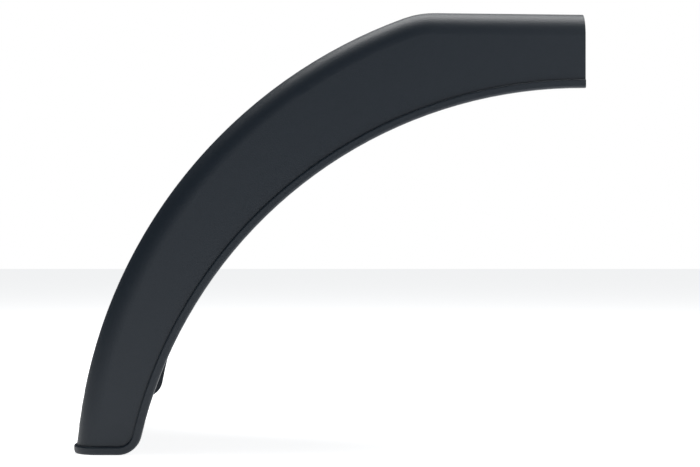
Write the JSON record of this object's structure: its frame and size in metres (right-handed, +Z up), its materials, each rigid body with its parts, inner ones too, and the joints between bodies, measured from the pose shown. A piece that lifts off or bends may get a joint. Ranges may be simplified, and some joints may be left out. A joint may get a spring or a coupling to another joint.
{
  "type": "trailer mudguard",
  "caption": "One-piece moulded mudguard end with a deep arched skirt, round shoulder, wide tread, raised rim and bolt-on inner flange.",
  "frame": {"origin": "middle of the upper pair of bolt holes, on the flange's outer face, which bolts to the trailer's side", "axes": "+Y is the flange's outward normal, towards the trailer; -Y is the way the deep skirt faces; +Z is up; +X runs along the trailer towards the plain end"},
  "size_m": [0.3872, 0.222, 0.3344],
  "materials": {
    "plastic": "black moulded plastic with a fine grain"
  },
  "bodies": {
    "root": {"mudguard": "plastic"}
  },
  "joints": []
}
